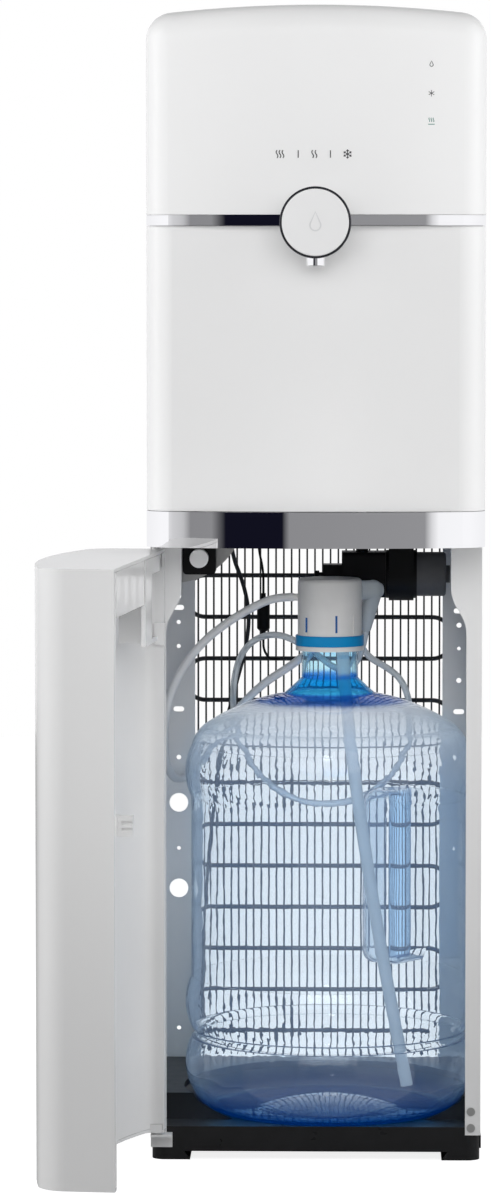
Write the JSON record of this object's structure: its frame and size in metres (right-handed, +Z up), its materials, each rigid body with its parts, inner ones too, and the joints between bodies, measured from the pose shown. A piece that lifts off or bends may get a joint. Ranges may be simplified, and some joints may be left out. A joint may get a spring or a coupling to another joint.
{
  "type": "bottom load water cooler",
  "caption": "Free-standing bottom load water cooler with bulged white fronts, chrome bands, a round dial over a spout, and an open door in front of a bottle bay with pump.",
  "frame": {"origin": "on the floor under the middle of the cabinet, at the base tray's underside", "axes": "+Z up, +X to the right seen from the front, +Y towards the back"},
  "size_m": [0.4048, 0.6189, 1.079],
  "materials": {
    "panel_steel": "semi-gloss white paint, fine texture",
    "galvanised": "plain zinc coated sheet",
    "white_plastic": "glossy white moulding",
    "liner_plastic": "satin light grey vacuum formed sheet",
    "dark_base": "satin near-black moulding",
    "chrome": "mirror bright plating on plastic",
    "dial_rim": "thin dark ring",
    "button_grey": "light grey moulding",
    "spring_steel": "bright wire",
    "black_plastic": "satin black moulding",
    "pump_end": "satin dark grey moulding",
    "zinc_bracket": "zinc plated steel",
    "cap_plastic": "satin warm grey moulding",
    "blue_band": "bright blue moulding",
    "clear_elbow": "milky moulding",
    "bottle_clear": "clear blue tinted blow moulding",
    "straw_clear": "clear stiff tube",
    "hose_white": "soft white silicone",
    "hose_clear": "soft milky silicone",
    "cable_black": "black sheath",
    "black_tube": "satin black paint on steel",
    "copper": "plain copper",
    "rubber": "soft black rubber",
    "tank_steel": "stainless steel",
    "foam": "white foam",
    "pipe_silicone": "food-safe silicone",
    "board_green": "printed board",
    "red_plastic": "glossy red moulding",
    "green_plastic": "glossy green moulding",
    "screw_steel": "zinc plated steel"
  },
  "bodies": {
    "cabinet": {"back_panel": "galvanised", "base_tray": "dark_base", "bay_ceiling": "galvanised", "bottle_grip": "bottle_clear", "bottom_plate": "white_plastic", "cap_band": "blue_band", "cap_elbow": "clear_elbow", "capillary_tube": "copper", "cold_tank": "tank_steel", "cold_tank_jacket": "foam", "compressor": "black_tube", "compressor_mounts": "rubber", "condenser_clips": "black_plastic", "condenser_tube": "black_tube", "condenser_wires": "black_tube", "cord_gland": "black_plastic", "faucet_body": "white_plastic", "filter_drier": "copper", "flange_screws": "screw_steel", "heater_band": "tank_steel", "hinge_brackets": "zinc_bracket", "hot_tank": "tank_steel", "hot_tank_feet": "rubber", "indicator_board": "board_green", "inner_cable": "cable_black", "left_side_panel": "panel_steel", "lower_chrome_band": "chrome", "lower_front_panel": "white_plastic", "nozzle": "chrome", "probe_cap": "cap_plastic", "pump_bracket": "zinc_bracket", "pump_end_cap": "pump_end", "pump_head": "black_plastic", "pump_motor": "black_plastic", "return_hose": "hose_clear", "right_side_panel": "panel_steel", "rocker_frames": "black_plastic", "suction_straw": "straw_clear", "supply_hose": "hose_white", "switch_bracket": "zinc_bracket", "switch_housing": "black_plastic", "tank_shelf": "galvanised", "top_cover": "white_plastic", "upper_chrome_strip": "chrome", "upper_front_cover": "white_plastic", "water_bottle": "bottle_clear", "water_pipes": "pipe_silicone"},
    "door": {"door_shell": "white_plastic", "door_liner": "liner_plastic", "door_top_pocket": "liner_plastic", "door_arm": "zinc_bracket", "door_stop": "white_plastic", "door_latch": "liner_plastic"},
    "selector": {"dial_ring": "dial_rim", "button_spring": "spring_steel"},
    "button": {"dispense_button": "button_grey"},
    "switch_plunger": {"door_switch_button": "white_plastic"},
    "heating_switch": {"heating_rocker": "red_plastic"},
    "cooling_switch": {"cooling_rocker": "green_plastic"}
  },
  "joints": [
    {"name": "door_hinge", "type": "hinge", "parent": "cabinet", "child": "door", "pos_m": [-0.15, -0.155, 0.3], "axis": [0, 0, -1], "range_deg": [-96, 14]},
    {"name": "dial_turn", "type": "hinge", "parent": "cabinet", "child": "selector", "pos_m": [0, -0.26, 0.88], "axis": [0, 1, 0], "range_deg": [-30, 30]},
    {"name": "button_press", "type": "slide", "parent": "selector", "child": "button", "axis": [0, 1, 0], "range_m": [0, 0.003], "stiffness_N_per_m": 1000, "springref_m": -0.001, "deforming": ["button_spring"]},
    {"name": "door_switch_press", "type": "slide", "parent": "cabinet", "child": "switch_plunger", "axis": [0, 1, 0], "range_m": [0, 0.003], "stiffness_N_per_m": 800, "springref_m": -0.001},
    {"name": "heating_switch_tilt", "type": "hinge", "parent": "cabinet", "child": "heating_switch", "pos_m": [-0.017, 0.144, 0.7], "axis": [1, 0, 0], "range_deg": [-8, 8]},
    {"name": "cooling_switch_tilt", "type": "hinge", "parent": "cabinet", "child": "cooling_switch", "pos_m": [0.017, 0.144, 0.7], "axis": [1, 0, 0], "range_deg": [-8, 8]}
  ]
}
